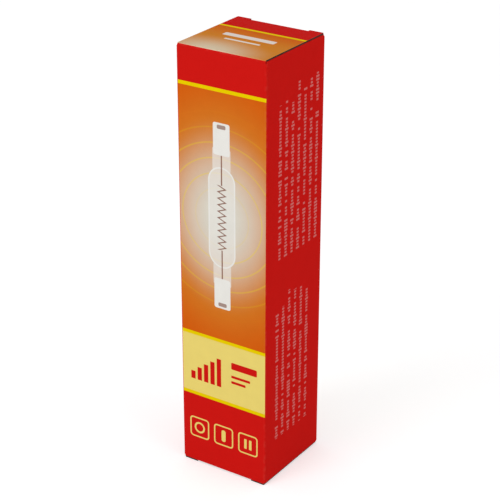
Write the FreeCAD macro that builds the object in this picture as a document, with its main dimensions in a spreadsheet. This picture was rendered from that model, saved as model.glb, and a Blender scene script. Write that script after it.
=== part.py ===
import FreeCAD, Part
import math
import os
import re
import Sketcher

# Folding carton of a linear halogen lamp, with the lamp held in a folded card cradle.
# Millimetres. Origin at the middle of the base, +Z up, the front wall faces -Y.
# The top closure turns on the front wall and tucks in behind the back wall.
# The bottom closure is the same turned half a turn about X: it turns on the back wall.

sizes = {
    # carton
    "carton_width": 22.4,
    "carton_depth": 22.4,
    "carton_height": 100,
    "board": 0.3,
    "fold_radius": 0.36,
    "stack_gap": 0.04,
    "free_edge_drop": 0.34,
    "glue_width": 8,
    "glue_strip": 1.2,
    "glue_slant": 4,
    # closures
    "closure_inset": 0.35,
    "hinge_open": 5,
    "hinge_gap": 0.06,
    "tuck_length": 8,
    "tuck_gap": 0.15,
    "tuck_side_gap": 0.3,
    "tuck_extra_lean": 1.5,
    "tuck_corner": 4,
    "slit_length": 3.8,
    "slit_corner": 0.2,
    "slit_setback": 0.05,
    # dust flaps
    "dust_length": 8.6,
    "dust_shoulder": 0.25,
    "dust_front_gap": 0.7,
    "dust_relief": 2.3,
    "dust_taper": 1.6,
    "dust_corner": 1.4,
    # cradle
    "cradle_gap": 0.2,
    "cradle_side_gap": 0.35,
    "tab_width": 14,
    "cap_play": 0.2,
    "lamp_play": 0.3,
    # lamp, lengths measured from its middle
    "tube_diameter": 10,
    "tube_wall": 1,
    "tube_reach": 12.5,
    "shoulder_length": 2.5,
    "neck_diameter": 5.6,
    "pinch_width": 11.3,
    "pinch_thickness": 3,
    "pinch_edge": 0.9,
    "pinch_reach": 27,
    "pip_diameter": 2.4,
    "pip_height": 1.6,
    "pip_round": 1.1,
    "coil_diameter": 1.4,
    "coil_reach": 9.5,
    "lead_diameter": 0.7,
    "foil_width": 2.6,
    "foil_thickness": 0.2,
    "foil_start": 15,
    "foil_end": 24,
    "weld_lap": 0.6,
    "cap_diameter": 7.2,
    "cap_start": 24,
    "cap_reach": 39,
    "cap_edge": 0.4,
    "cement_gap": 0.1,
    "recess_diameter": 4.4,
    "recess_depth": 3.6,
    "contact_diameter": 3.8,
    "contact_height": 2.2,
    "contact_edge": 0.7,
}

ends = ("top", "bottom")

doc = FreeCAD.newDocument("lamp_carton")
sheet = doc.addObject("Spreadsheet::Sheet", "Sizes")
for row, (alias, value) in enumerate(sizes.items(), start=1):
    sheet.set("A%d" % row, alias)
    sheet.set("B%d" % row, str(value))
    sheet.setAlias("B%d" % row, alias)
doc.recompute()


def cells(formula):
    return re.sub(r"[a-z_]+", lambda m: "Sizes." + m.group() if m.group() in sizes else m.group(), formula)


def number(formula):
    return float(sheet.evalExpression(cells(formula)))


def new_body(label):
    body = doc.addObject("PartDesign::Body", label)
    body.Label = label
    return body


def new_sketch(body, name, role, level="0"):
    sketch = body.newObject("Sketcher::SketchObject", name)
    plane = [item for item in body.Origin.OriginFeatures if item.Role == role][0]
    sketch.AttachmentSupport = [(plane, "")]
    sketch.MapMode = "FlatFace"
    sketch.AttachmentOffset = FreeCAD.Placement(FreeCAD.Vector(0, 0, number(level)), FreeCAD.Rotation())
    sketch.setExpression("AttachmentOffset.Base.z", cells(level))
    return sketch


def fix(sketch, constraint, formula):
    index = sketch.addConstraint(constraint)
    sketch.setExpression("Constraints[%d]" % index, cells(formula))


def arc_between(start, end, radius, turn):
    """Arc under half a turn from start to end, turn 1 to the left and -1 to the right."""
    chord = end - start
    middle = (start + end) * 0.5
    rise = math.sqrt(max(radius ** 2 - (chord.Length / 2) ** 2, 0))
    left = FreeCAD.Vector(-chord.y, chord.x, 0).normalize()
    centre = middle + left * rise * turn
    circle = Part.Circle(centre, FreeCAD.Vector(0, 0, 1), radius)
    angles = [math.atan2(p.y - centre.y, p.x - centre.x) for p in (start, end)]
    first, last = angles if turn > 0 else reversed(angles)
    return Part.ArcOfCircle(circle, first, last)


def draw_loop(sketch, corners):
    """Closed outline. A corner is (x, y), or (x, y, radius, turn) if an arc leads to it."""
    points = [FreeCAD.Vector(number(c[0]), number(c[1]), 0) for c in corners]
    edges = []
    for i, corner in enumerate(corners):
        start, end = points[i - 1], points[i]
        if len(corner) == 2:
            edge = sketch.addGeometry(Part.LineSegment(start, end), False)
            edges.append((edge, 1, 2))
        else:
            radius, turn = corner[2], corner[3]
            edge = sketch.addGeometry(arc_between(start, end, number(radius), turn), False)
            edges.append((edge, 1, 2) if turn > 0 else (edge, 2, 1))
            fix(sketch, Sketcher.Constraint("Radius", edge, number(radius)), radius)
    for i, (edge, begin, finish) in enumerate(edges):
        after, after_begin, after_finish = edges[(i + 1) % len(edges)]
        sketch.addConstraint(Sketcher.Constraint("Coincident", edge, finish, after, after_begin))
    for (edge, begin, finish), point, corner in zip(edges, points, corners):
        fix(sketch, Sketcher.Constraint("DistanceX", -1, 1, edge, finish, point.x), corner[0])
        fix(sketch, Sketcher.Constraint("DistanceY", -1, 1, edge, finish, point.y), corner[1])


def draw_circle(sketch, x, y, diameter):
    centre = FreeCAD.Vector(number(x), number(y), 0)
    circle = Part.Circle(centre, FreeCAD.Vector(0, 0, 1), number(diameter) / 2)
    edge = sketch.addGeometry(circle, False)
    fix(sketch, Sketcher.Constraint("Diameter", edge, number(diameter)), diameter)
    fix(sketch, Sketcher.Constraint("DistanceX", -1, 1, edge, 3, number(x)), x)
    fix(sketch, Sketcher.Constraint("DistanceY", -1, 1, edge, 3, number(y)), y)


def extrude(body, kind, sketch, length, symmetric=False):
    feature = body.newObject("PartDesign::" + kind, sketch.Name + "_" + kind.lower())
    feature.Profile = sketch
    feature.SideType = "Symmetric" if symmetric else "One side"
    feature.setExpression("Length", cells(length))
    doc.recompute()
    return feature


def slab(body, name, loops, low, high):
    """Outlines in plan, filled from one height up to another."""
    sketch = new_sketch(body, name, "XY_Plane", low)
    for loop in loops:
        draw_loop(sketch, loop)
    return extrude(body, "Pad", sketch, "(%s) - (%s)" % (high, low))


def rod(body, name, diameter, low, high):
    sketch = new_sketch(body, name, "XY_Plane", low)
    draw_circle(sketch, "0", "0", diameter)
    return extrude(body, "Pad", sketch, "(%s) - (%s)" % (high, low))


def bore(body, name, diameter, low, high):
    sketch = new_sketch(body, name, "XY_Plane", high)
    draw_circle(sketch, "0", "0", diameter)
    return extrude(body, "Pocket", sketch, "(%s) - (%s)" % (high, low))


def slot(body, name, loop, low, high):
    sketch = new_sketch(body, name, "XY_Plane", high)
    draw_loop(sketch, loop)
    return extrude(body, "Pocket", sketch, "(%s) - (%s)" % (high, low))


def dress_edges(body, kind, name, base, size, wanted):
    names = []
    for i, edge in enumerate(base.Shape.Edges, start=1):
        middle = edge.valueAt((edge.FirstParameter + edge.LastParameter) / 2)
        if wanted(middle):
            names.append("Edge%d" % i)
    if not names:
        raise RuntimeError("no edges found for " + name)
    dress = body.newObject("PartDesign::" + kind, name)
    dress.Base = (base, names)
    dress.setExpression("Radius" if kind == "Fillet" else "Size", cells(size))
    doc.recompute()
    return dress


def rectangle(x_low, x_high, y_low, y_high):
    return [(x_low, y_low), (x_high, y_low), (x_high, y_high), (x_low, y_high)]


# Turning an end's formulas into those of the other end: half a turn about X at mid height.

def turned_y(end, y):
    return y if end == "top" else "-(%s)" % y


def turned_z(end, z):
    return z if end == "top" else "carton_height - (%s)" % z


def turned(end, corners):
    """Side-view outline (y, z) of the top end, turned to the named end."""
    return [(turned_y(end, c[0]), turned_z(end, c[1])) + tuple(c[2:]) for c in corners]


def span(end, low, high):
    """Heights low to high of the top end as low and high of the named end."""
    return (low, high) if end == "top" else (turned_z(end, high), turned_z(end, low))


# Places that several pieces share, for the top end.

half_w = "carton_width / 2"
half_d = "carton_depth / 2"
inner_radius = "(fold_radius - board)"
dust_top = "(carton_height - board - stack_gap)"
wall_top = "(carton_height - board - stack_gap - fold_radius)"
wall_low = "(board + stack_gap + fold_radius)"
floor_in = "(2 * board + 2 * stack_gap)"
hinge_y = "(-carton_depth / 2 + fold_radius * (1 - cos(45)))"
hinge_z = "(carton_height - fold_radius * (1 - sin(45)))"
tuck_y = "(carton_depth / 2 - board - tuck_gap)"
bend_y = "(carton_depth / 2 - board - tuck_gap - fold_radius)"
slit_y = "(carton_depth / 2 - slit_setback)"
lean = "(asin(tuck_length / (2 * (%s - %s))) + tuck_extra_lean * 1 deg)" % (tuck_y, hinge_y)
tuck_width = "(carton_width - 4 * board - 2 * tuck_side_gap)"
lamp_z = "carton_height / 2"


def sleeve_section():
    """Outer and inner outline of the four walls, with the seam at the left rear corner."""
    x, y, t, r, i = half_w, half_d, "board", "fold_radius", inner_radius
    outer = [
        ("-%s + %s" % (x, r), "-%s" % y, r, 1),
        ("%s - %s" % (x, r), "-%s" % y),
        (x, "-%s + %s" % (y, r), r, 1),
        (x, "%s - %s" % (y, r)),
        ("%s - %s" % (x, r), y, r, 1),
        ("-%s + %s + %s" % (x, t, r), y),
        ("-%s + %s" % (x, t), "%s - %s" % (y, r), r, 1),
        ("-%s" % x, "%s - %s" % (y, r)),
        ("-%s" % x, "-%s + %s" % (y, r)),
    ]
    inner = [
        ("-%s + %s + %s" % (x, t, i), "-%s + %s" % (y, t), i, 1),
        ("%s - %s - %s" % (x, t, i), "-%s + %s" % (y, t)),
        ("%s - %s" % (x, t), "-%s + %s + %s" % (y, t, i), i, 1),
        ("%s - %s" % (x, t), "%s - %s - %s" % (y, t, i)),
        ("%s - %s - %s" % (x, t, i), "%s - %s" % (y, t), i, 1),
        ("-%s + 2 * %s + %s" % (x, t, i), "%s - %s" % (y, t)),
        ("-%s + 2 * %s" % (x, t), "%s - %s" % (y, r), i, 1),
        ("-%s + 2 * %s" % (x, t), "%s - %s - glue_strip" % (y, r)),
        ("-%s + %s" % (x, t), "%s - %s - glue_strip" % (y, r)),
        ("-%s + %s" % (x, t), "-%s + %s + %s" % (y, t, i)),
    ]
    return outer, inner


def dust_fold(side, end):
    """Side wall's fold over to its dust flap, seen from the front."""
    r, i = "fold_radius", inner_radius
    turn = side if end == "top" else -side
    corners = [
        (half_w, wall_top),
        ("%s - %s" % (half_w, r), dust_top, r, turn),
        ("%s - %s - dust_shoulder" % (half_w, r), dust_top),
        ("%s - %s - dust_shoulder" % (half_w, r), "%s - board" % dust_top),
        ("%s - %s" % (half_w, r), "%s - board" % dust_top),
        ("%s - board" % half_w, wall_top, i, -turn),
    ]
    return [("%d * (%s)" % (side, c[0]), turned_z(end, c[1])) + tuple(c[2:]) for c in corners]


def dust_outline(side, end):
    """Dust flap in plan: cut back on the tuck's side, tapered, with round corners at its tip."""
    base = "%s - fold_radius - dust_shoulder" % half_w
    tip = "%s - dust_length" % half_w
    hinge_side = "-%s + board + dust_front_gap" % half_d
    tuck_side = "%s - dust_relief" % half_d
    turn = side if end == "top" else -side
    c = "dust_corner"
    corners = [
        (base, hinge_side),
        (base, tuck_side),
        ("%s + %s" % (tip, c), "%s - dust_taper" % tuck_side),
        (tip, "%s - dust_taper - %s" % (tuck_side, c), c, turn),
        (tip, "%s + dust_taper + %s" % (hinge_side, c)),
        ("%s + %s" % (tip, c), "%s + dust_taper" % hinge_side, c, turn),
    ]
    return [("%d * (%s)" % (side, p[0]), turned_y(end, p[1])) + tuple(p[2:]) for p in corners]


def make_sleeve():
    """Four walls, the glued strip inside the left wall, and the four dust flaps: one folded sheet."""
    body = new_body("carton_sleeve")
    slab(body, "walls", sleeve_section(), wall_low, wall_top)

    glue = new_sketch(body, "glue_flap", "YZ_Plane", "-%s + board" % half_w)
    near, far = "%s - fold_radius - glue_strip" % half_d, "%s - glue_width" % half_d
    draw_loop(glue, [
        (far, "%s + glue_slant" % wall_low),
        (near, wall_low),
        (near, wall_top),
        (far, "%s - glue_slant" % wall_top),
    ])
    extrude(body, "Pad", glue, "board")

    for end in ends:
        rail = new_sketch(body, end + "_hinge_edge", "YZ_Plane")
        draw_loop(rail, turned(end, [
            ("-%s" % half_d, wall_top),
            ("-%s + board" % half_d, wall_top),
            ("-%s + board" % half_d, "carton_height - board"),
            (hinge_y, hinge_z),
            ("-%s" % half_d, "carton_height - fold_radius", "fold_radius", 1),
        ]))
        extrude(body, "Pad", rail, "carton_width - 2 * closure_inset", symmetric=True)

        seam = "board" if end == "top" else "0"
        edge = rectangle("-%s + fold_radius + %s" % (half_w, seam), "%s - fold_radius" % half_w,
                         *sorted((turned_y(end, "%s - board" % half_d), turned_y(end, half_d)), key=number))
        slab(body, end + "_free_edge", [edge], *span(end, wall_top, "carton_height - free_edge_drop"))

        folds = new_sketch(body, end + "_dust_folds", "XZ_Plane")
        for side in (1, -1):
            draw_loop(folds, dust_fold(side, end))
        extrude(body, "Pad", folds, "carton_depth - 2 * fold_radius", symmetric=True)

        outlines = [dust_outline(side, end) for side in (1, -1)]
        slab(body, end + "_dust_flaps", outlines, *span(end, "%s - board" % dust_top, dust_top))
    return body


def make_flap(end):
    """Closure panel with its tuck. The tuck leans in so that its swing clears the wall behind it."""
    body = new_body(end + "_flap")
    r, i = "fold_radius", inner_radius
    centre_y, centre_z = "-%s + %s" % (half_d, r), "carton_height - %s" % r
    outer = ("%s + %s * cos%s" % (bend_y, r, lean), "%s - %s * sin%s" % (centre_z, r, lean))
    inner = ("%s + %s * cos%s" % (bend_y, i, lean), "%s - %s * sin%s" % (centre_z, i, lean))
    down = (" - tuck_length * sin%s" % lean, " - tuck_length * cos%s" % lean)
    mitre = "(45 + hinge_open)"

    panel = new_sketch(body, end + "_closure", "YZ_Plane")
    draw_loop(panel, turned(end, [
        ("-%s + board + hinge_gap" % half_d, "carton_height - board"),
        (bend_y, "carton_height - board"),
        (bend_y, "carton_height"),
        (centre_y, "carton_height"),
        ("%s - %s * cos%s" % (centre_y, r, mitre), "%s + %s * sin%s" % (centre_z, r, mitre), r, 1),
    ]))
    extrude(body, "Pad", panel, "carton_width - 2 * closure_inset", symmetric=True)

    bend = new_sketch(body, end + "_tuck_fold", "YZ_Plane")
    draw_loop(bend, turned(end, [
        (bend_y, "carton_height", r, 1),
        (bend_y, "carton_height - board"),
        (inner[0], inner[1], i, -1),
        outer,
    ]))
    extrude(body, "Pad", bend, "carton_width - 2 * slit_length", symmetric=True)

    # beside the fold a slit parts the panel's shoulders from the tuck: they lie on the wall's free edge
    shoulders = []
    for side in (1, -1):
        turn = side if end == "top" else -side
        corners = [
            ("%s - slit_length" % half_w, bend_y),
            ("%s - closure_inset" % half_w, bend_y),
            ("%s - closure_inset" % half_w, "%s - slit_corner" % slit_y),
            ("%s - closure_inset - slit_corner" % half_w, slit_y, "slit_corner", turn),
            ("%s - slit_length" % half_w, slit_y),
        ]
        outline = [("%d * (%s)" % (side, c[0]), turned_y(end, c[1])) + tuple(c[2:]) for c in corners]
        shoulders.append(outline)
    slab(body, end + "_shoulders", shoulders, *span(end, "carton_height - board", "carton_height"))

    tuck = new_sketch(body, end + "_tuck", "YZ_Plane")
    draw_loop(tuck, turned(end, [
        outer,
        inner,
        (inner[0] + down[0], inner[1] + down[1]),
        (outer[0] + down[0], outer[1] + down[1]),
    ]))
    leaf = extrude(body, "Pad", tuck, tuck_width, symmetric=True)
    tip_z = number(turned_z(end, outer[1] + down[1]))
    side_x = number(tuck_width) / 2
    dress_edges(body, "Fillet", end + "_tuck_corners", leaf, "tuck_corner",
                lambda p: abs(abs(p.x) - side_x) < 0.01 and abs(p.z - tip_z) < number("board"))
    return body


def make_cradle():
    """Card strip: up the back wall, forward as a tab, up the front wall, with a second tab cut from it."""
    body = new_body("lamp_cradle")
    t, r, i = "board", "fold_radius", inner_radius
    back = "(%s - board - cradle_gap)" % half_d
    front = "-%s" % back
    width = "carton_width - 4 * board - 2 * cradle_side_gap"
    upper = "(%s + pinch_reach + lamp_play)" % lamp_z
    lower = "(%s - pinch_reach - stack_gap)" % lamp_z
    reach = "(%s - %s)" % (back, front)

    strip = new_sketch(body, "strip", "YZ_Plane")
    draw_loop(strip, [
        (back, floor_in),
        (back, "%s + %s" % (upper, i)),
        ("%s - %s" % (back, r), "%s + %s" % (upper, t), r, 1),
        ("%s + %s" % (front, r), "%s + %s" % (upper, t)),
        ("%s + %s" % (front, t), "%s + %s" % (upper, r), i, -1),
        ("%s + %s" % (front, t), "carton_height - %s" % floor_in),
        (front, "carton_height - %s" % floor_in),
        (front, "%s + %s" % (upper, r)),
        ("%s + %s" % (front, r), upper, r, 1),
        ("%s - %s" % (back, r), upper),
        ("%s - %s" % (back, t), "%s - %s" % (upper, i), i, -1),
        ("%s - %s" % (back, t), floor_in),
    ])
    extrude(body, "Pad", strip, width, symmetric=True)

    window = new_sketch(body, "window", "XZ_Plane", "-(%s - board / 2)" % back)
    draw_loop(window, rectangle("-tab_width / 2", "tab_width / 2",
                                "%s - %s" % (lower, r), "%s - %s + %s" % (lower, r, reach)))
    extrude(body, "Pocket", window, "3 * board", symmetric=True)

    tab = new_sketch(body, "lower_tab", "YZ_Plane")
    draw_loop(tab, [
        (back, "%s - %s" % (lower, r)),
        ("%s - %s" % (back, r), lower, r, 1),
        (front, lower),
        (front, "%s - %s" % (lower, t)),
        ("%s - %s" % (back, r), "%s - %s" % (lower, t)),
        ("%s - %s" % (back, t), "%s - %s" % (lower, r), i, -1),
    ])
    extrude(body, "Pad", tab, "tab_width", symmetric=True)

    hole = "cap_diameter + 2 * cap_play"
    bore(body, "cap_holes", hole, "%s - 2 * board" % lower, "%s + 2 * board" % upper)
    return body


def lamp_span(end, low, high):
    return span(end, "%s + %s" % (lamp_z, low), "%s + %s" % (lamp_z, high))


foil_outline = rectangle("-foil_width / 2", "foil_width / 2", "-foil_thickness / 2", "foil_thickness / 2")


def make_lead(end):
    """Inner lead, sealing foil and outer lead, welded into one."""
    body = new_body("lead_foil_" + end)
    rod(body, end + "_inner_lead", "lead_diameter", *lamp_span(end, "coil_reach", "foil_start + weld_lap"))
    slab(body, end + "_foil", [foil_outline], *lamp_span(end, "foil_start", "foil_end"))
    rod(body, end + "_outer_lead", "lead_diameter",
        *lamp_span(end, "foil_end - weld_lap", "cap_reach - recess_depth"))
    return body


def make_envelope():
    """Clear tube with sloped shoulders, two flat pinch seals around the foils, and the pumping pip."""
    body = new_body("quartz_envelope")
    outer, inside = "tube_diameter / 2", "(tube_diameter / 2 - tube_wall)"
    high, low = "(%s + tube_reach)" % lamp_z, "(%s - tube_reach)" % lamp_z
    slope, neck = "shoulder_length", "neck_diameter / 2"
    tube = new_sketch(body, "tube", "XZ_Plane")
    draw_loop(tube, [
        ("0", low),
        (neck, low),
        (outer, "%s + %s" % (low, slope)),
        (outer, "%s - %s" % (high, slope)),
        (neck, high),
        ("0", high),
        ("0", "%s - tube_wall" % high),
        ("%s - tube_wall" % neck, "%s - tube_wall" % high),
        (inside, "%s - %s" % (high, slope)),
        (inside, "%s + %s" % (low, slope)),
        ("%s - tube_wall" % neck, "%s + tube_wall" % low),
        ("0", "%s + tube_wall" % low),
    ])
    spin = body.newObject("PartDesign::Revolution", "tube_spin")
    spin.Profile = tube
    spin.ReferenceAxis = (tube, ["V_Axis"])
    spin.Angle = 360
    doc.recompute()

    pip = new_sketch(body, "pip", "YZ_Plane", "tube_diameter / 2 - tube_wall / 2")
    draw_circle(pip, "0", lamp_z, "pip_diameter")
    nub = extrude(body, "Pad", pip, "tube_wall / 2 + pip_height")
    nub_x = number("tube_diameter / 2 + pip_height")
    dress_edges(body, "Fillet", "pip_tip", nub, "pip_round", lambda p: abs(p.x - nub_x) < 0.01)

    plate = rectangle("-pinch_width / 2", "pinch_width / 2", "-pinch_thickness / 2", "pinch_thickness / 2")
    pinch_start = "tube_reach - tube_wall / 2"
    for end in ends:
        last = slab(body, end + "_pinch", [plate], *lamp_span(end, pinch_start, "pinch_reach"))
    corner_x, corner_y = number("pinch_width / 2"), number("pinch_thickness / 2")
    dress_edges(body, "Chamfer", "pinch_edges", last, "pinch_edge",
                lambda p: abs(abs(p.x) - corner_x) < 0.01 and abs(abs(p.y) - corner_y) < 0.01)
    for end in ends:
        bore(body, end + "_inner_seal", "lead_diameter",
             *lamp_span(end, "tube_reach - 2 * tube_wall", "foil_start + weld_lap"))
        slot(body, end + "_foil_seal", foil_outline, *lamp_span(end, "foil_start", "foil_end"))
        bore(body, end + "_outer_seal", "lead_diameter",
             *lamp_span(end, "foil_end - weld_lap", "pinch_reach"))
    return body


def make_cap(end):
    """Ceramic cap: slotted over the pinch, bored for the lead, with a recess for the contact."""
    body = new_body("ceramic_cap_" + end)
    solid = rod(body, end + "_cap", "cap_diameter", *lamp_span(end, "cap_start", "cap_reach"))
    tip_z = number(turned_z(end, "%s + cap_reach" % lamp_z))
    dress_edges(body, "Chamfer", end + "_cap_rim", solid, "cap_edge", lambda p: abs(p.z - tip_z) < 0.01)
    half_slot = "(pinch_thickness / 2 + cement_gap)"
    straddle = rectangle("-cap_diameter", "cap_diameter", "-%s" % half_slot, half_slot)
    slot(body, end + "_cap_slot", straddle, *lamp_span(end, "cap_start", "pinch_reach + cement_gap"))
    bore(body, end + "_lead_way", "lead_diameter + 2 * cement_gap",
         *lamp_span(end, "cap_start", "cap_reach"))
    bore(body, end + "_recess", "recess_diameter", *lamp_span(end, "cap_reach - recess_depth", "cap_reach"))
    return body


def make_contact(end):
    body = new_body("contact_" + end)
    base, tip = "cap_reach - recess_depth", "cap_reach - recess_depth + contact_height"
    button = rod(body, end + "_button", "contact_diameter", *lamp_span(end, base, tip))
    tip_z = number(turned_z(end, "%s + %s" % (lamp_z, tip)))
    dress_edges(body, "Chamfer", end + "_button_edge", button, "contact_edge",
                lambda p: abs(p.z - tip_z) < 0.01)
    return body


def make_coil():
    body = new_body("filament_coil")
    rod(body, "coil", "coil_diameter", "%s - coil_reach" % lamp_z, "%s + coil_reach" % lamp_z)
    return body


nodes = [make_sleeve(), make_cradle(), make_envelope(), make_coil()]
for end in ends:
    nodes += [make_flap(end), make_lead(end), make_cap(end), make_contact(end)]
doc.recompute()

for item in doc.Objects:
    if "Invalid" in item.State or "Error" in item.State:
        raise RuntimeError("not built: " + item.Name)
os.makedirs("parts", exist_ok=True)
for node in nodes:
    shape = node.Shape
    if shape.isNull() or not shape.isValid() or len(shape.Solids) != 1:
        raise RuntimeError("bad shape: " + node.Label)
    shape.exportStep("parts/%s.step" % node.Label)
    box = shape.BoundBox
    print("%-18s %8.1f mm3   x %.2f %.2f   y %.2f %.2f   z %.2f %.2f" % (
        node.Label, shape.Volume, box.XMin, box.XMax, box.YMin, box.YMax, box.ZMin, box.ZMax))
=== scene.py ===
import math
import bmesh
import bpy
from mathutils import Matrix, Vector
from mathutils.bvhtree import BVHTree


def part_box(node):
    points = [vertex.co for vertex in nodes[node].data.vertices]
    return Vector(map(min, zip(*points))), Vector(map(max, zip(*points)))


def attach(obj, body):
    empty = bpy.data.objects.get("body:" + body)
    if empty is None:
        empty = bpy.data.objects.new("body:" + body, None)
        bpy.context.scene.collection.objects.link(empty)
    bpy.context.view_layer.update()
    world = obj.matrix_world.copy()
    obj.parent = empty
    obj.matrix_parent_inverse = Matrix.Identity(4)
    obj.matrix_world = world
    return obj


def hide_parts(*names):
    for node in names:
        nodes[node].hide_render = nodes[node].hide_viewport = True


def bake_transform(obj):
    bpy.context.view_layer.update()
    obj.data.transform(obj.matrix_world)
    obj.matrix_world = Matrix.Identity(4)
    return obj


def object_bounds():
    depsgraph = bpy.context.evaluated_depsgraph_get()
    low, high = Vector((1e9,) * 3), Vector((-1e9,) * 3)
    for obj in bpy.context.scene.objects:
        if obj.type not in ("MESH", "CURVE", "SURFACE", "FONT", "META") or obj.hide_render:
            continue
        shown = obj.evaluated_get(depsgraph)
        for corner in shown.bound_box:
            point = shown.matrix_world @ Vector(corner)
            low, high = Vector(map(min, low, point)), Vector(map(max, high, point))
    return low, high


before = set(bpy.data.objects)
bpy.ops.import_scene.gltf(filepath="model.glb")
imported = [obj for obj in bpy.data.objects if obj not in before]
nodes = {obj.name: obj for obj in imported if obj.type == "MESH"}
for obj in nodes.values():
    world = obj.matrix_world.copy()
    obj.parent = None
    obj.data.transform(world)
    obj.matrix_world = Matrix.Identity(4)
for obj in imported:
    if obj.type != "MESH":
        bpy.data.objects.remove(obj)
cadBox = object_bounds()
mm = 0.001

# carton sizes, read from the frame in millimetres
boxHalfWidth = cadBox[1].x / mm
boxHalfDepth = cadBox[1].y / mm
boxHeight = cadBox[1].z / mm
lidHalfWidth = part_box("top_flap")[1].x / mm
print("frame loaded: carton %.1f x %.1f x %.1f mm" % (2 * boxHalfWidth, 2 * boxHalfDepth, boxHeight))


# screen colour, 0 to 255, as linear light
def ink(red, green, blue):
    def linear(level):
        part = level / 255
        return part / 12.92 if part <= 0.04045 else ((part + 0.055) / 1.055) ** 2.4
    return (linear(red), linear(green), linear(blue), 1.0)


inks = {
    "red": ink(209, 25, 21),
    "orange": ink(215, 94, 16),
    "tan": ink(214, 133, 44),
    "glow": ink(222, 219, 206),
    "lidGlow": ink(224, 206, 176),
    "yellow": ink(236, 208, 0),
    "cream": ink(239, 217, 118),
    "white": ink(238, 236, 230),
    "smallMarks": ink(226, 150, 146),
    "brown": ink(122, 54, 8),
    "whiteCoat": ink(228, 226, 219),
    "foldTint": ink(240, 196, 170),
}
inkEdge = 0.05   # half the soft rim of a printed shape, in millimetres


# one shader tree, with short calls for the nodes used most
class Graph:
    def __init__(self, tree):
        self.tree = tree

    def node(self, kind, **settings):
        made = self.tree.nodes.new("ShaderNode" + kind)
        for name, value in settings.items():
            setattr(made, name, value)
        return made

    def feed(self, value, socket):
        if isinstance(value, bpy.types.NodeSocket):
            self.tree.links.new(value, socket)
        else:
            socket.default_value = value

    def calc(self, operation, *values):
        made = self.node("Math", operation=operation)
        for value, socket in zip(values, made.inputs):
            self.feed(value, socket)
        return made.outputs["Value"]

    def chain(self, operation, values):
        result = values[0]
        for value in values[1:]:
            result = self.calc(operation, result, value)
        return result

    def total(self, *values):
        return self.chain("ADD", values)

    def both(self, *masks):
        return self.chain("MULTIPLY", masks)

    def either(self, *masks):
        return self.chain("MAXIMUM", masks)

    def weigh(self, first, second, share):
        return self.total(self.calc("MULTIPLY", first, share), self.calc("MULTIPLY", second, 1 - share))

    def ramp(self, value, start, end):
        made = self.node("MapRange", interpolation_type="SMOOTHSTEP")
        self.feed(value, made.inputs["Value"])
        self.feed(start, made.inputs["From Min"])
        self.feed(end, made.inputs["From Max"])
        return made.outputs["Result"]

    def scaled(self, value, low, high):
        made = self.node("MapRange", clamp=True)
        self.feed(value, made.inputs["Value"])
        self.feed(low, made.inputs["To Min"])
        self.feed(high, made.inputs["To Max"])
        return made.outputs["Result"]

    # printed on one side of a level
    def above(self, value, level, soft=inkEdge):
        return self.ramp(value, level - soft, level + soft)

    def below(self, value, level, soft=inkEdge):
        return self.ramp(value, level + soft, level - soft)

    def band(self, value, low, high):
        return self.both(self.above(value, low), self.below(value, high))

    # inputs 6 and 7 and output 2 of a Mix node are its colours
    def over(self, under, colour, mask, blend="MIX"):
        made = self.node("Mix", data_type="RGBA", blend_type=blend)
        self.feed(mask, made.inputs[0])
        self.feed(under, made.inputs[6])
        self.feed(colour, made.inputs[7])
        return made.outputs[2]

    def shade(self, colour, value):
        return self.over(colour, value, 1.0, "MULTIPLY")

    # place on the object in millimetres, stretched along each axis
    def place(self, stretch=(1, 1, 1)):
        coords = self.node("TexCoord")
        scale = self.node("VectorMath", operation="MULTIPLY")
        self.feed(coords.outputs["Object"], scale.inputs[0])
        scale.inputs[1].default_value = [part / mm for part in stretch]
        return scale.outputs["Vector"]

    def parts(self, vector):
        made = self.node("SeparateXYZ")
        self.feed(vector, made.inputs[0])
        return made.outputs[0], made.outputs[1], made.outputs[2]

    def noise(self, vector, scale, detail):
        made = self.node("TexNoise")
        self.feed(vector, made.inputs["Vector"])
        self.feed(scale, made.inputs["Scale"])
        made.inputs["Detail"].default_value = detail
        return made.outputs["Fac"]

    # an even draw for each pair of whole numbers
    def chance(self, first, second):
        spot = self.node("CombineXYZ")
        self.feed(first, spot.inputs[0])
        self.feed(second, spot.inputs[1])
        made = self.node("TexWhiteNoise", noise_dimensions="2D")
        self.feed(spot.outputs[0], made.inputs["Vector"])
        return made.outputs["Value"]

    def group(self, shared, **values):
        made = self.node("Group", node_tree=shared)
        for name, value in values.items():
            self.feed(value, made.inputs[name])
        return made.outputs

    def bump(self, height, strength, depth):
        made = self.node("Bump")
        made.inputs["Strength"].default_value = strength
        made.inputs["Distance"].default_value = depth * mm
        self.feed(height, made.inputs["Height"])
        return made.outputs["Normal"]


def newGroup(name, inputs, outputs):
    shared = bpy.data.node_groups.new(name, "ShaderNodeTree")
    for label, value in inputs.items():
        socket = shared.interface.new_socket(name=label, in_out="INPUT", socket_type="NodeSocketFloat")
        socket.default_value = value
    for label in outputs:
        shared.interface.new_socket(name=label, in_out="OUTPUT", socket_type="NodeSocketFloat")
    g = Graph(shared)
    inlet = g.tree.nodes.new("NodeGroupInput").outputs
    outlet = g.tree.nodes.new("NodeGroupOutput").inputs
    return g, inlet, outlet


def newMaterial(name):
    material = bpy.data.materials.new(name)
    material.use_nodes = True
    material.node_tree.nodes.clear()
    g = Graph(material.node_tree)
    shader = g.node("BsdfPrincipled")
    output = g.node("OutputMaterial")
    g.feed(shader.outputs["BSDF"], output.inputs["Surface"])
    return material, g, shader.inputs


def addObject(name, data):
    made = bpy.data.objects.new(name, data)
    bpy.context.scene.collection.objects.link(made)
    return made


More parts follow.
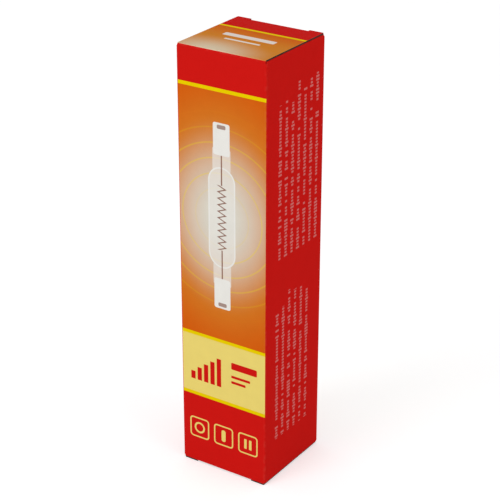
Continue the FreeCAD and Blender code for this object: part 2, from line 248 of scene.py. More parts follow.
# printed rectangle with round corners, by its distance field
def printShapeGroup():
    g, inlet, outlet = newGroup(
        "printShape",
        {"U": 0, "V": 0, "Half Width": 1, "Half Height": 1, "Corner": 0, "Soft": inkEdge},
        ("Mask", "Distance"),
    )
    reach = []
    for axis, half in (("U", "Half Width"), ("V", "Half Height")):
        core = g.calc("SUBTRACT", inlet[half], inlet["Corner"])
        reach.append(g.calc("SUBTRACT", g.calc("ABSOLUTE", inlet[axis]), core))
    squares = [g.calc("POWER", g.calc("MAXIMUM", part, 0.0), 2.0) for part in reach]
    outside = g.calc("SQRT", g.total(*squares))
    inside = g.calc("MINIMUM", g.calc("MAXIMUM", *reach), 0.0)
    distance = g.calc("SUBTRACT", g.calc("ADD", outside, inside), inlet["Corner"])
    g.feed(distance, outlet["Distance"])
    g.feed(g.ramp(distance, inlet["Soft"], g.calc("MULTIPLY", inlet["Soft"], -1.0)), outlet["Mask"])
    return g.tree


grainLook = {
    "fibreStretch": (1, 1, 0.22),   # fibres run up the sheet
    "fibreDetail": 4.0,
    "fibreShare": 0.65,
    "toothScale": 4.0,              # times the fibres' scale
    "toothDetail": 2.0,
    "mottleDetail": 3.0,
    "fleckStretch": (1, 1, 0.4),
    "fleckDetail": 1.0,
    "fleckFade": (0.68, 0.74),
}


# paper fibres, slow tone changes and dark flecks of the board
def cardGrainGroup():
    look = grainLook
    g, inlet, outlet = newGroup(
        "cardGrain",
        {"Fibre Scale": 3.0, "Mottle Scale": 0.35, "Fleck Scale": 2.2},
        ("Height", "Mottle", "Fleck"),
    )
    even = g.place()
    fibre = g.noise(g.place(look["fibreStretch"]), inlet["Fibre Scale"], look["fibreDetail"])
    toothScale = g.calc("MULTIPLY", inlet["Fibre Scale"], look["toothScale"])
    tooth = g.noise(even, toothScale, look["toothDetail"])
    fleck = g.noise(g.place(look["fleckStretch"]), inlet["Fleck Scale"], look["fleckDetail"])
    g.feed(g.weigh(fibre, tooth, look["fibreShare"]), outlet["Height"])
    g.feed(g.noise(even, inlet["Mottle Scale"], look["mottleDetail"]), outlet["Mottle"])
    g.feed(g.ramp(fleck, *look["fleckFade"]), outlet["Fleck"])
    return g.tree


wearLook = {
    "breakDetail": 4.0,
    "breakFade": (0.42, 0.66),
}


# rubbed ink along the carton's folds: where two of the box's outer planes are near
def foldWearGroup():
    g, inlet, outlet = newGroup("foldWear", {"Reach": 0.7, "Break Scale": 0.8}, ("Mask",))
    x, y, z = g.parts(g.place())
    gaps = [
        g.calc("SUBTRACT", boxHalfWidth, g.calc("ABSOLUTE", x)),
        g.calc("SUBTRACT", boxHalfDepth, g.calc("ABSOLUTE", y)),
        g.calc("SUBTRACT", boxHeight / 2, g.calc("ABSOLUTE", g.calc("SUBTRACT", z, boxHeight / 2))),
    ]
    low = g.chain("MINIMUM", gaps)
    high = g.chain("MAXIMUM", gaps)
    middle = g.calc("SUBTRACT", g.calc("SUBTRACT", g.total(*gaps), low), high)
    near = g.ramp(middle, inlet["Reach"], 0.0)
    breaks = g.noise(g.place(), inlet["Break Scale"], wearLook["breakDetail"])
    g.feed(g.both(near, g.ramp(breaks, *wearLook["breakFade"])), outlet["Mask"])
    return g.tree


printShape = printShapeGroup()
cardGrain = cardGrainGroup()
foldWear = foldWearGroup()
print("shader groups made")

printFinish = {
    "roughness": (0.40, 0.50),
    "specular": 0.003,
    "mottle": (0.955, 1.03),
    "wear": 0.035,
    "wearRoughness": 0.5,
    "bumpStrength": 0.22,
    "bumpDepth": 0.02,
}


# matt lacquer, ink mottle and rubbed folds over a printed colour
def finishPrint(g, shader, colour):
    look = printFinish
    grain = g.group(cardGrain)
    wear = g.calc("MULTIPLY", g.group(foldWear)["Mask"], look["wear"])
    toned = g.shade(colour, g.scaled(grain["Mottle"], *look["mottle"]))
    g.feed(g.over(toned, inks["foldTint"], wear), shader["Base Color"])
    satin = g.scaled(grain["Mottle"], *look["roughness"])
    g.feed(g.calc("ADD", satin, g.calc("MULTIPLY", wear, look["wearRoughness"])), shader["Roughness"])
    shader["Specular IOR Level"].default_value = look["specular"]
    g.feed(g.bump(grain["Height"], look["bumpStrength"], look["bumpDepth"]), shader["Normal"])


# a printed shape is given by its middle, half size and corner
def shapeField(g, u, v, middle, half, corner):
    moved = [g.calc("SUBTRACT", part, start) for part, start in zip((u, v), middle)]
    return g.group(printShape, **{
        "U": moved[0], "V": moved[1], "Half Width": half[0], "Half Height": half[1], "Corner": corner,
    })


def shapeMask(g, u, v, middle, half, corner):
    return shapeField(g, u, v, middle, half, corner)["Mask"]


def shapeOutline(g, u, v, middle, half, corner, stroke):
    distance = shapeField(g, u, v, middle, half, corner)["Distance"]
    return g.below(g.calc("ABSOLUTE", distance), stroke)


# 0 in the middle of an oval and 1 on its rim
def ovalSpread(g, u, v, middle, reach):
    sides = zip((u, v), middle, reach)
    out = [g.calc("DIVIDE", g.calc("SUBTRACT", part, start), end) for part, start, end in sides]
    return g.calc("SQRT", g.total(*[g.calc("POWER", part, 2.0) for part in out]))


frontArt = {
    "headerLow": 92.0,           # heights in millimetres from the base
    "creamHigh": 33.0,
    "creamLow": 18.5,
    "rule": 0.8,
    "sideWrap": 0.3,             # the side wall's red comes round the left fold
    "glowMiddle": (0.0, 63.0),
    "glowReach": (29.0, 38.0),
    "tanFade": (0.05, 0.62),     # parts of the glow's reach
    "orangeFade": (0.35, 0.88),
}

lampArt = {
    "half": 21.5,                # sizes in millimetres from the middle of the glow
    "tubeHalf": (3.3, 11.5),
    "pinchHalf": (2.3, 2.6),
    "pinchOverlap": 0.8,
    "pinchCorner": 0.4,
    "capHalf": (2.1, 3.6),
    "capCorner": 0.5,
    "tipHalf": (1.1, 0.45),
    "tipInset": 0.9,
    "tipCorner": 0.3,
    "coilHalf": 7.5,
    "coilPitch": 1.5,
    "coilWidth": 0.95,
    "coilFade": (0.42, 0.26),
    "leadHalf": 0.16,
    "stroke": 0.17,
    "glassStrength": 0.62,
    "wireStrength": 0.85,
    "tipStrength": 0.7,
    "ringSpacing": 3.4,
    "ringFade": (0.24, 0.08),
    "ringStart": (5.0, 9.0),     # rings come in and die away over these distances
    "ringEnd": (25.0, 14.0),
    "ringStrength": 0.38,
}


# pale tube lamp drawn upright, with rings of light around it
def lampMotif(g, colour, u, v):
    art = lampArt
    middle = frontArt["glowMiddle"]
    span = ovalSpread(g, u, v, middle, (1.0, 1.0))
    ring = g.calc("PINGPONG", span, art["ringSpacing"] / 2)
    rings = g.both(
        g.ramp(ring, *art["ringFade"]), g.ramp(span, *art["ringStart"]), g.ramp(span, *art["ringEnd"]))
    colour = g.over(colour, inks["yellow"], g.calc("MULTIPLY", rings, art["ringStrength"]))

    rise = g.calc("SUBTRACT", v, middle[1])
    up = g.calc("ABSOLUTE", rise)
    tubeHalf, pinchHalf = art["tubeHalf"], art["pinchHalf"]
    pinchUp = tubeHalf[1] + pinchHalf[1] - art["pinchOverlap"]
    tube = shapeMask(g, u, up, (0, 0), tubeHalf, tubeHalf[0])
    pinch = shapeMask(g, u, up, (0, pinchUp), pinchHalf, art["pinchCorner"])
    colour = g.over(colour, inks["white"], g.calc("MULTIPLY", g.either(tube, pinch), art["glassStrength"]))
    rim = shapeOutline(g, u, up, (0, 0), tubeHalf, tubeHalf[0], art["stroke"])
    colour = g.over(colour, inks["white"], rim)

    capUp = art["half"] - art["capHalf"][1]
    sweep = g.calc("PINGPONG", rise, art["coilPitch"] / 2)
    swing = g.calc("MULTIPLY_ADD", sweep, 4 * art["coilWidth"] / art["coilPitch"], -art["coilWidth"])
    coil = g.ramp(g.calc("ABSOLUTE", g.calc("SUBTRACT", u, swing)), *art["coilFade"])
    coil = g.both(coil, g.below(up, art["coilHalf"]))
    leadUp, leadReach = (capUp + art["coilHalf"]) / 2, (capUp - art["coilHalf"]) / 2
    lead = shapeMask(g, u, up, (0, leadUp), (art["leadHalf"], leadReach), 0.0)
    colour = g.over(colour, inks["brown"], g.calc("MULTIPLY", g.either(coil, lead), art["wireStrength"]))

    cap = shapeMask(g, u, up, (0, capUp), art["capHalf"], art["capCorner"])
    tip = shapeMask(g, u, up, (0, art["half"] - art["tipInset"]), art["tipHalf"], art["tipCorner"])
    colour = g.over(colour, inks["white"], cap)
    return g.over(colour, inks["brown"], g.calc("MULTIPLY", tip, art["tipStrength"]))


creamArt = {
    "barLeft": -9.0,
    "barPitch": 1.75,
    "barCount": 5,
    "barSpan": (0.16, 0.84),     # start and end of a bar in its pitch
    "barRaise": 3.2,             # above the band's lower edge
    "firstHeight": 2.0,
    "heightStep": 1.25,
    "lines": (                   # middle, half size and corner of each
        ((5.6, 28.0), (3.4, 0.85), 0.3),
        ((4.7, 25.3), (2.5, 0.32), 0.15),
        ((4.1, 23.9), (1.9, 0.32), 0.15),
    ),
}


# rising bars and three plain lines on the cream band
def creamMotif(g, colour, u, v):
    art = creamArt
    along = g.calc("DIVIDE", g.calc("SUBTRACT", u, art["barLeft"]), art["barPitch"])
    base = frontArt["creamLow"] + art["barRaise"]
    top = g.calc("MULTIPLY_ADD", g.calc("FLOOR", along), art["heightStep"], base + art["firstHeight"])
    bars = g.both(
        g.band(along, 0.0, art["barCount"]),
        g.band(g.calc("FRACT", along), *art["barSpan"]),
        g.above(v, base),
        g.below(g.calc("SUBTRACT", v, top), 0.0),
    )
    lines = [shapeMask(g, u, v, *line) for line in art["lines"]]
    return g.over(colour, inks["red"], g.either(bars, *lines))


tileArt = {
    "pitch": 6.6,
    "middle": 9.2,
    "half": (2.45, 2.45),
    "corner": 0.7,
    "stroke": 0.17,
    "ringRadius": 1.2,
    "ringStroke": 0.22,
    "tubeHalf": (0.55, 1.5),
    "tubeCorner": 0.5,
    "pairMiddle": 0.65,
    "pairHalf": (0.33, 1.25),
    "pairCorner": 0.15,
}


# three tiles with a ring, a tube and a pair of bars
def tileMotif(g, colour, u, v):
    art = tileArt
    cell = g.calc("ROUND", g.calc("DIVIDE", u, art["pitch"]))
    local = g.calc("SUBTRACT", u, g.calc("MULTIPLY", cell, art["pitch"]))
    aside = g.calc("ABSOLUTE", local)
    rise = g.calc("SUBTRACT", v, art["middle"])
    radius = art["ringRadius"]
    signs = {   # by the number of their cell, counted from the middle
        -1: shapeOutline(g, local, rise, (0, 0), (radius, radius), radius, art["ringStroke"]),
        0: shapeMask(g, local, rise, (0, 0), art["tubeHalf"], art["tubeCorner"]),
        1: shapeMask(g, aside, rise, (art["pairMiddle"], 0), art["pairHalf"], art["pairCorner"]),
    }
    shown = [g.both(sign, g.calc("COMPARE", cell, number, 0.5)) for number, sign in signs.items()]
    rim = shapeOutline(g, local, rise, (0, 0), art["half"], art["corner"], art["stroke"])
    inRow = g.calc("LESS_THAN", g.calc("ABSOLUTE", cell), len(signs) / 2)
    return g.over(colour, inks["cream"], g.both(g.either(rim, *shown), inRow))


# u runs to the right, seen from outside, and v up
def frontPrintMaterial():
    art = frontArt
    material, g, shader = newMaterial("frontPrint")
    x, y, v = g.parts(g.place())
    u = g.calc("MULTIPLY", x, g.calc("MULTIPLY", g.calc("SIGN", y), -1.0))
    spread = ovalSpread(g, u, v, art["glowMiddle"], art["glowReach"])
    colour = g.over(inks["glow"], inks["tan"], g.ramp(spread, *art["tanFade"]))
    colour = g.over(colour, inks["orange"], g.ramp(spread, *art["orangeFade"]))
    colour = lampMotif(g, colour, u, v)
    colour = g.over(colour, inks["cream"], g.band(v, art["creamLow"], art["creamHigh"]))
    colour = creamMotif(g, colour, u, v)
    ends = g.either(g.above(v, art["headerLow"]), g.below(v, art["creamLow"]))
    colour = g.over(colour, inks["red"], ends)
    colour = tileMotif(g, colour, u, g.calc("MINIMUM", v, art["creamLow"]))
    ruleLows = (art["headerLow"] - art["rule"], art["creamHigh"], art["creamLow"] - art["rule"])
    rules = [g.band(v, low, low + art["rule"]) for low in ruleLows]
    colour = g.over(colour, inks["yellow"], g.total(*rules))
    colour = g.over(colour, inks["red"], g.below(u, art["sideWrap"] - boxHalfWidth))
    finishPrint(g, shader, colour)
    return material


sideArt = {
    "blocks": ((7, 1.3, 54.0, 92.5), (6, -0.6, 10.0, 46.0)),   # rows, middle, low, high
    "rowPitch": 2.4,
    "raggedEnd": 4.5,
    "markPitch": 0.74,
    "markSpan": (0.14, 0.78),    # start and end of a mark in its pitch
    "markHalf": (0.38, 0.62),    # small and tall marks
    "markSoft": 0.06,
    "tallShare": 0.3,
    "gapShare": 0.16,
    "strength": 0.55,
}


# rows of small marks that run up the wall, with gaps and a ragged end
def markRows(g, u, v, count, middle, low, high):
    art = sideArt
    left = middle - art["rowPitch"] * count / 2
    across = g.calc("DIVIDE", g.calc("SUBTRACT", u, left), art["rowPitch"])
    row = g.calc("FLOOR", across)
    offRow = g.calc("ABSOLUTE", g.calc("SUBTRACT", g.calc("FRACT", across), 0.5))
    along = g.calc("DIVIDE", v, art["markPitch"])
    mark = g.calc("FLOOR", along)
    tall = g.calc("LESS_THAN", g.chance(mark, g.calc("ADD", row, high)), art["tallShare"])
    half = g.scaled(tall, *art["markHalf"])
    past = g.calc("SUBTRACT", g.calc("MULTIPLY", offRow, art["rowPitch"]), half)
    end = g.calc("SUBTRACT", high, g.calc("MULTIPLY", g.chance(row, low), art["raggedEnd"]))
    return g.both(
        g.calc("GREATER_THAN", g.chance(mark, g.calc("ADD", row, low)), art["gapShare"]),
        g.below(past, 0.0, art["markSoft"]),
        g.band(g.calc("FRACT", along), *art["markSpan"]),
        g.band(across, 0.0, count),
        g.calc("GREATER_THAN", v, low),
        g.calc("LESS_THAN", v, end),
    )


# red wall with two blocks of small pale marks
def sidePrintMaterial():
    art = sideArt
    material, g, shader = newMaterial("sidePrint")
    x, y, v = g.parts(g.place())
    u = g.calc("MULTIPLY", y, g.calc("SIGN", x))
    colour = inks["red"]
    for block in art["blocks"]:
        mask = g.calc("MULTIPLY", markRows(g, u, v, *block), art["strength"])
        colour = g.over(colour, inks["smallMarks"], mask)
    finishPrint(g, shader, colour)
    return material


lidArt = {
    "bandLow": 4.6,              # red band along the rear
    "rule": 0.8,
    "glowMiddle": (-3.0, -11.0),
    "glowReach": (16.0, 9.0),
    "orangeFade": (-4.0, 6.0),   # the field deepens towards the band
    "lines": (((0, -0.6), (6.4, 0.85), 0.3), ((0, -3.4), (4.4, 0.36), 0.2)),
    "lineStrength": 0.85,
}


def lidPrintMaterial():
    art = lidArt
    material, g, shader = newMaterial("lidPrint")
    x, y, z = g.parts(g.place())
    spread = ovalSpread(g, x, y, art["glowMiddle"], art["glowReach"])
    colour = g.over(inks["lidGlow"], inks["tan"], g.ramp(spread, 0.0, 1.0))
    colour = g.over(colour, inks["orange"], g.ramp(y, *art["orangeFade"]))
    lines = g.either(*[shapeMask(g, x, y, *line) for line in art["lines"]])
    colour = g.over(colour, inks["white"], g.calc("MULTIPLY", lines, art["lineStrength"]))
    colour = g.over(colour, inks["red"], g.above(y, art["bandLow"]))
    colour = g.over(colour, inks["yellow"], g.band(y, art["bandLow"] - art["rule"], art["bandLow"]))
    finishPrint(g, shader, colour)
    return material


baseArt = {
    "lineHalf": (8.2, 8.2),
    "lineCorner": 0.8,
    "lineStroke": 0.2,
}


def basePrintMaterial():
    art = baseArt
    material, g, shader = newMaterial("basePrint")
    x, y, z = g.parts(g.place())
    line = shapeOutline(g, x, y, (0, 0), art["lineHalf"], art["lineCorner"], art["lineStroke"])
    finishPrint(g, shader, g.over(inks["red"], inks["cream"], line))
    return material


inkBleed = {
    "dust": 2.6,                 # millimetres of ink past a fold
    "tuck": 3.0,
    "soft": 0.06,
}


# white coated flaps, with the ink running a little way past their fold
def bleedMaterial(name, bleed, axis):
    material, g, shader = newMaterial(name)
    x, y, z = g.parts(g.place())
    if axis == "x":
        past = g.calc("SUBTRACT", boxHalfWidth, g.calc("ABSOLUTE", x))
    else:
        fromMiddle = g.calc("ABSOLUTE", g.calc("SUBTRACT", z, boxHeight / 2))
        past = g.calc("SUBTRACT", boxHeight / 2, fromMiddle)
    bare = g.above(past, bleed, inkBleed["soft"])
    finishPrint(g, shader, g.over(inks["red"], inks["whiteCoat"], bare))
    return material


boardFinish = {
    "fibreScale": 2.4,
    "mottleScale": 0.5,
    "mottleShare": 0.55,
    "toneFade": (0.35, 0.65),
    "fleck": ink(92, 82, 70),
    "roughness": (0.75, 0.95),
    "specular": 0.18,
    "bumpStrength": 0.4,
}
# dark and light tone, strength of the flecks and depth of the fibres
boards = {
    "boardBack": (ink(203, 198, 187), ink(212, 208, 198), 0.35, 0.03),
    # cut edges: the grey core's tone darkened to near black, partly painted shade of the narrow gaps round
    # the flaps
    "cutEdgeAndGapShade": (ink(38, 33, 29), ink(66, 59, 52), 0.3, 0.05),
    "cradleBoard": (ink(176, 146, 106), ink(198, 170, 130), 0.5, 0.05),
}


# uncoated board: fibres, slow tone changes and a few dark flecks
def boardMaterial(name):
    look = boardFinish
    dark, light, flecks, depth = boards[name]
    material, g, shader = newMaterial(name)
    grain = g.group(cardGrain, **{"Fibre Scale": look["fibreScale"], "Mottle Scale": look["mottleScale"]})
    tone = g.weigh(grain["Mottle"], grain["Height"], look["mottleShare"])
    colour = g.over(dark, light, g.ramp(tone, *look["toneFade"]))
    colour = g.over(colour, look["fleck"], g.calc("MULTIPLY", grain["Fleck"], flecks))
    g.feed(colour, shader["Base Color"])
    g.feed(g.scaled(grain["Height"], *look["roughness"]), shader["Roughness"])
    shader["Specular IOR Level"].default_value = look["specular"]
    g.feed(g.bump(grain["Height"], look["bumpStrength"], depth), shader["Normal"])
    return material


cardFinishes = {
    "front": frontPrintMaterial(),
    "side": sidePrintMaterial(),
    "lid": lidPrintMaterial(),
    "base": basePrintMaterial(),
    "dust": bleedMaterial("dustFlapCoat", inkBleed["dust"], "x"),
    "tuck": bleedMaterial("tuckCoat", inkBleed["tuck"], "z"),
    "back": boardMaterial("boardBack"),
    # cut edges, dark partly as painted shade of the narrow gaps between flaps and walls
    "edge": boardMaterial("cutEdgeAndGapShade"),
}
finishOrder = list(cardFinishes)
print("card materials made")

card = {
    "board": 0.30,             # thickness of the sheet
    "foldRadius": 0.36,        # outside of a fold
    "smoothAngle": 32,         # folds are smooth, cut edges sharp
    "flatAngle": 0.2,          # faces this near to flat are joined
    "weld": 0.001,
    "rayStart": 0.01,          # a ray through the board starts this deep
    "boardTolerance": 0.15,    # parts of a board
    "inwardLean": -0.05,       # a face that leans further in is the board's back
    "flapLean": 0.9,           # a face this near to level is a dust flap
}


# outer side of the folded sleeve: it never faces the middle of the box
def sleeveFinish(spot, facing):
    lean = [facing[i] * math.copysign(1, spot[i]) for i in range(3)]
    if min(lean) < card["inwardLean"]:
        return "back"
    if lean[2] > card["flapLean"]:
        return "dust"
    return "front" if lean[1] > lean[0] and lean[1] > lean[2] else "side"


# outer side of a closure and its tuck, both ends read as the top one
def closureFinish(spot, facing):
    turn = math.copysign(1, spot.z)
    up, rear = facing.z * turn, facing.y * turn
    if spot.y * turn > 0 and abs(rear) > abs(up):
        return "tuck" if rear > 0 else "back"
    if up < 0:
        return "back"
    return "lid" if turn > 0 else "base"


# the ink runs over the small ends of the sleeve's corner folds
def isCornerEnd(spot):
    radius = card["foldRadius"]
    return abs(spot.x) > boxHalfWidth - radius and abs(spot.y) > boxHalfDepth - radius


# a face is a side of the sheet if the other side is one board away, or two at the glued strip,
# and a cut edge if not
def paintFaces(mesh, finishOf):
    inside = BVHTree.FromBMesh(mesh)
    boxMiddle = Vector((0, 0, boxHeight / 2))
    board = card["board"] * mm
    rayStart = card["rayStart"] * mm
    for face in mesh.faces:
        centre = face.calc_center_median()
        spot = centre / mm - boxMiddle
        depth = inside.ray_cast(centre - face.normal * rayStart, -face.normal, 3 * board)[3]
        layers = (depth + rayStart) / board if depth is not None else 0
        if min(abs(layers - 1), abs(layers - 2)) < card["boardTolerance"]:
            finish = finishOf(spot, face.normal)
        else:
            finish = "side" if isCornerEnd(spot) else "edge"
        face.material_index = finishOrder.index(finish)
        face.smooth = True


def giveFinishes(shape):
    for finish in finishOrder:
        shape.materials.append(cardFinishes[finish])


hingeFold = {
    "skin": 0.03,       # thickness of the printed skin over a hinge fold
    "steps": 8,
    "tolerance": 0.01,
}


# middle of a hinge fold's round, in millimetres; turn is 1 at the top and -1 at the bottom
def foldMiddle(turn):
    radius = card["foldRadius"]
    return Vector((0, -turn * (boxHalfDepth - radius), boxHeight / 2 + turn * (boxHeight / 2 - radius)))


# hinge folds are drawn by a skin of their own, so the card under them gives it room
def sinkHingeFold(mesh):
    near = hingeFold["tolerance"]
    for turn in (1, -1):
        middle = foldMiddle(turn)
        for vert in mesh.verts:
            out = vert.co / mm - middle
            aside = abs(out.x)
            out.x = 0
            inQuarter = out.y * turn < -near and out.z * turn > near
            onRound = abs(out.length - card["foldRadius"]) < 2 * near
            if inQuarter and onRound and aside < lidHalfWidth + near:
                vert.co -= out.normalized() * hingeFold["skin"] * mm


def cardPiece(name, node, body, finishOf):
    shape = nodes[node].data.copy()
    shape.name = name
    if "custom_normal" in shape.attributes:
        shape.attributes.remove(shape.attributes["custom_normal"])
    shape.materials.clear()
    giveFinishes(shape)
    mesh = bmesh.new()
    mesh.from_mesh(shape)
    bmesh.ops.remove_doubles(mesh, verts=mesh.verts, dist=card["weld"] * mm)
    mesh.normal_update()
    paintFaces(mesh, finishOf)
    bmesh.ops.dissolve_limit(
        mesh, angle_limit=math.radians(card["flatAngle"]),
        verts=mesh.verts, edges=mesh.edges, delimit={"MATERIAL"})
    sinkHingeFold(mesh)
    mesh.to_mesh(shape)
    mesh.free()
    shape.set_sharp_from_angle(angle=math.radians(card["smoothAngle"]))
    piece = addObject(name, shape)
    flat = piece.modifiers.new("flatPanels", "WEIGHTED_NORMAL")
    flat.keep_sharp = True
    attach(piece, body)
    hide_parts(node)
    print("%s: %d faces" % (name, len(shape.polygons)))


# printed skin over a hinge fold, made as it lies with the closure shut
def foldSkin(name, end):
    radius, skin, steps = card["foldRadius"], hingeFold["skin"], hingeFold["steps"]
    turn = 1 if end == "top" else -1
    panel = "lid" if end == "top" else "base"
    middle = foldMiddle(turn)
    mesh = bmesh.new()

    def addRow(side, reach):
        row = []
        for i in range(steps + 1):
            angle = math.pi / 2 * i / steps
            forward, up = reach * math.cos(angle), reach * math.sin(angle)
            out = Vector((side * lidHalfWidth, -turn * forward, turn * up))
            row.append(mesh.verts.new((middle + out) * mm))
        return row

    def addFace(corners, finish):
        face = mesh.faces.new(corners)
        face.material_index = finishOrder.index(finish)
        face.smooth = True

    leftOut, leftIn, rightOut, rightIn = [
        addRow(side, reach) for side in (-1, 1) for reach in (radius, radius - skin)]
    for i in range(steps):
        printed = "front" if i < steps / 2 else panel
        for a, b, finish in (
            (leftOut, rightOut, printed), (rightIn, leftIn, "back"),
            (leftIn, leftOut, "edge"), (rightOut, rightIn, "edge"),
        ):
            addFace((a[i], b[i], b[i + 1], a[i + 1]), finish)
    for i in (0, steps):
        addFace((leftOut[i], rightOut[i], rightIn[i], leftIn[i]), "edge")
    bmesh.ops.recalc_face_normals(mesh, faces=mesh.faces)
    shape = bpy.data.meshes.new(name)
    mesh.to_mesh(shape)
    mesh.free()
    giveFinishes(shape)
    shape.set_sharp_from_angle(angle=math.radians(card["smoothAngle"]))
    piece = addObject(name, shape)
    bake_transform(piece)


cardPiece("printed_sleeve", "carton_sleeve", "carton", sleeveFinish)
for end in ("top", "bottom"):
    body = end + "_flap"
    cardPiece("printed_" + body, body, body, closureFinish)
    foldSkin(end + "_hinge_fold", end)
print("carton dressed")


def dress(node, material):
    for place in nodes[node].material_slots:
        place.material = material


quartzLook = {
    "tint": (0.985, 0.99, 0.99, 1),
    "roughness": 0.02,
    "ior": 1.46,
    "lineStretch": (1, 1, 0.05),
    "lineScale": 1.6,
    "lineDetail": 2.0,
    "bumpStrength": 0.25,
    "bumpDepth": 0.05,
}


# clear fused quartz with faint draw lines
def quartzMaterial():
    look = quartzLook
    material, g, shader = newMaterial("quartz")
    lines = g.noise(g.place(look["lineStretch"]), look["lineScale"], look["lineDetail"])
    shader["Base Color"].default_value = look["tint"]
    shader["Roughness"].default_value = look["roughness"]
    shader["IOR"].default_value = look["ior"]
    shader["Transmission Weight"].default_value = 1.0
    g.feed(g.bump(lines, look["bumpStrength"], look["bumpDepth"]), shader["Normal"])
    return material


metalFinish = {
    "lineScale": 6.0,
    "lineDetail": 4.0,
    "toneScale": 0.9,
    "toneDetail": 3.0,
    "toneFade": (0.35, 0.65),
    "bumpStrength": 0.25,
    "bumpDepth": 0.02,
}
# dark and light tone, range of roughness and stretch of the scratches
metals = {
    "tungsten": (ink(120, 118, 116), ink(150, 148, 146), (0.25, 0.45), (1, 1, 1)),
    "molybdenum": (ink(150, 150, 154), ink(182, 182, 186), (0.22, 0.42), (1, 1, 0.1)),
    "contactMetal": (ink(188, 184, 174), ink(206, 203, 196), (0.2, 0.38), (1, 1, 0.3)),
}


# metal with fine scratches along the lamp
def metalMaterial(name):
    look = metalFinish
    dark, light, roughness, stretch = metals[name]
    material, g, shader = newMaterial(name)
    lines = g.noise(g.place(stretch), look["lineScale"], look["lineDetail"])
    tone = g.noise(g.place(), look["toneScale"], look["toneDetail"])
    g.feed(g.over(dark, light, g.ramp(tone, *look["toneFade"])), shader["Base Color"])
    g.feed(g.scaled(lines, *roughness), shader["Roughness"])
    shader["Metallic"].default_value = 1.0
    g.feed(g.bump(lines, look["bumpStrength"], look["bumpDepth"]), shader["Normal"])
    return material


ceramicLook = {
    "tones": (ink(226, 222, 212), ink(240, 238, 231)),
    "pore": ink(170, 163, 150),
    "slowScale": 0.5,
    "fineScale": 7.0,
    "detail": 3.0,
    "toneFade": (0.35, 0.65),
    "poreScale": 3.2,
    "poreDetail": 1.0,
    "poreFade": (0.66, 0.72),
    "poreStrength": 0.5,
    "poreDepth": 0.8,
    "roughness": (0.42, 0.66),
    "bumpStrength": 0.3,
    "bumpDepth": 0.03,
}


# fired steatite: chalky, with pores and a faint sheen
def ceramicMaterial():
    look = ceramicLook
    material, g, shader = newMaterial("steatite")
    slow = g.noise(g.place(), look["slowScale"], look["detail"])
    fine = g.noise(g.place(), look["fineScale"], look["detail"])
    pores = g.ramp(g.noise(g.place(), look["poreScale"], look["poreDetail"]), *look["poreFade"])
    colour = g.over(*look["tones"], g.ramp(slow, *look["toneFade"]))
    colour = g.over(colour, look["pore"], g.calc("MULTIPLY", pores, look["poreStrength"]))
    g.feed(colour, shader["Base Color"])
    g.feed(g.scaled(fine, *look["roughness"]), shader["Roughness"])
    height = g.calc("SUBTRACT", fine, g.calc("MULTIPLY", pores, look["poreDepth"]))
    g.feed(g.bump(height, look["bumpStrength"], look["bumpDepth"]), shader["Normal"])
    return material


winding = {
    "turns": 44,
    "wire": 0.075,
    "wireRound": 2,
    "pointsPerTurn": 14,
    "tailTurns": 1.5,     # turns over which the ends draw in to the leads
    "tailRadius": 0.35,   # part of the coil's radius
}


def makeWinding(material):
    low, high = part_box("filament_coil")
    turns, tail = winding["turns"], winding["tailRadius"]
    wire = winding["wire"] * mm
    outer = high.x - wire
    count = turns * winding["pointsPerTurn"]
    curve = bpy.data.curves.new("filament_winding", "CURVE")
    curve.dimensions = "3D"
    curve.bevel_depth = wire
    curve.bevel_resolution = winding["wireRound"]
    curve.use_fill_caps = True
    spline = curve.splines.new("POLY")
    spline.points.add(count)
    for i, point in enumerate(spline.points):
        turn = i / winding["pointsPerTurn"]
        draw = min(turn, turns - turn) / winding["tailTurns"]
        radius = outer * (tail + (1 - tail) * min(draw, 1.0))
        angle = 2 * math.pi * turn
        rise = low.z + (high.z - low.z) * i / count
        point.co = (radius * math.cos(angle), radius * math.sin(angle), rise, 1)
    curve.materials.append(material)
    piece = addObject("filament_winding", curve)
    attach(piece, "carton")
    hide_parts("filament_coil")


foil = metalMaterial("molybdenum")
contactMetal = metalMaterial("contactMetal")
steatite = ceramicMaterial()
dress("quartz_envelope", quartzMaterial())
dress("lamp_cradle", boardMaterial("cradleBoard"))
for end in ("top", "bottom"):
    dress("lead_foil_" + end, foil)
    dress("ceramic_cap_" + end, steatite)
    dress("contact_" + end, contactMetal)
makeWinding(metalMaterial("tungsten"))
print("lamp and cradle dressed")


studio = {
    "world": 0.60,
    "floorSize": 3.0,        # lengths in metres
    "floorTone": 0.75,
    "floorRoughness": 0.9,
    "floorSpecular": 0.1,
    "floorLift": 0.47,       # lights nothing, only lifts the floor as it is seen
    "floorDrop": 0.00002,    # keeps it clear of the carton's base
    # name, place, size and power of each soft lamp; all aim at the middle of the carton
    "lamps": (
        ("keyLamp", (-0.28, -0.77, 0.44), 0.60, 2.95),
        ("topLamp", (0.10, 0.05, 0.95), 0.70, 0.2),
        ("sideLamp", (0.80, -0.10, 0.35), 0.60, 1.2),
    ),
}


# rays that see the backdrop, not those that light the object
def seenRays(g):
    path = g.node("LightPath").outputs
    return g.either(path["Is Camera Ray"], path["Is Glossy Ray"], path["Is Transmission Ray"])


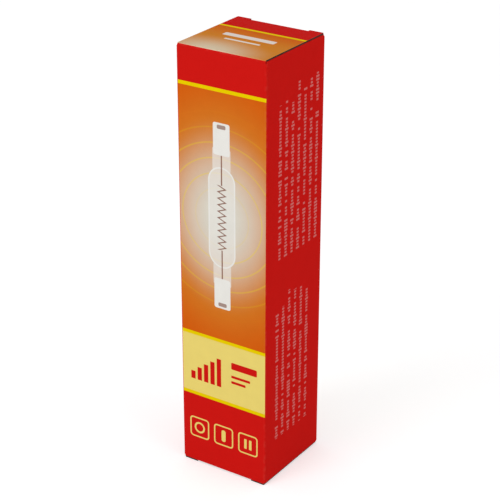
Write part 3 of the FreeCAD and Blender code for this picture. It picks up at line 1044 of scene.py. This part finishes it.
def makeStudio():
    world = bpy.data.worlds.new("studioWorld")
    bpy.context.scene.world = world
    world.use_nodes = True
    g = Graph(world.node_tree)
    g.tree.nodes.clear()
    sky = g.node("Background")
    sky.inputs["Color"].default_value = (1, 1, 1, 1)
    g.feed(g.scaled(seenRays(g), studio["world"], 1.0), sky.inputs["Strength"])
    g.feed(sky.outputs[0], g.node("OutputWorld").inputs["Surface"])

    middle = (cadBox[0] + cadBox[1]) / 2
    for name, place, size, power in studio["lamps"]:
        data = bpy.data.lights.new(name, "AREA")
        data.shape = "DISK"
        data.size = size
        data.energy = power
        lamp = addObject(name, data)
        lamp.location = place
        lamp.rotation_euler = (middle - Vector(place)).to_track_quat("-Z", "Y").to_euler()


def makeFloor():
    material, g, shader = newMaterial("paleFloor")
    tone = studio["floorTone"]
    shader["Base Color"].default_value = (tone, tone, tone, 1)
    shader["Roughness"].default_value = studio["floorRoughness"]
    shader["Specular IOR Level"].default_value = studio["floorSpecular"]
    shader["Emission Color"].default_value = (1, 1, 1, 1)
    g.feed(g.calc("MULTIPLY", seenRays(g), studio["floorLift"]), shader["Emission Strength"])
    half = studio["floorSize"] / 2
    low = -studio["floorDrop"]
    corners = [(-half, -half, low), (half, -half, low), (half, half, low), (-half, half, low)]
    shape = bpy.data.meshes.new("studio_floor")
    shape.from_pydata(corners, [], [(0, 1, 2, 3)])
    shape.materials.append(material)
    addObject("studio_floor", shape)


photoView = {
    "azimuth": 33.76,        # degrees round from the front to the right side
    "elevation": 24.98,
    "distance": 0.3564,      # metres, as are the aims
    "aimRight": -0.00025,
    "aimUp": 0.00108,
    "focalPixels": 1614.5,
    "longSidePixels": 501,
    "sensor": 36.0,
    "clipStart": 0.01,
}


def makeCamera():
    view = photoView
    azimuth = math.radians(view["azimuth"])
    elevation = math.radians(view["elevation"])
    level = math.cos(elevation)
    back = Vector((math.sin(azimuth) * level, -math.cos(azimuth) * level, math.sin(elevation)))
    right = Vector((math.cos(azimuth), math.sin(azimuth), 0))
    up = back.cross(right)
    aim = (cadBox[0] + cadBox[1]) / 2 + right * view["aimRight"] + up * view["aimUp"]
    data = bpy.data.cameras.new("photoCamera")
    data.sensor_width = view["sensor"]
    data.lens = view["focalPixels"] * view["sensor"] / view["longSidePixels"]
    data.clip_start = view["clipStart"]
    camera = addObject("photoCamera", data)
    turn = Matrix((right, up, back)).transposed().to_4x4()
    camera.matrix_world = Matrix.Translation(aim + back * view["distance"]) @ turn
    bpy.context.scene.camera = camera


makeStudio()
makeFloor()
makeCamera()
bpy.context.scene.view_settings.view_transform = "Standard"
print("studio ready")
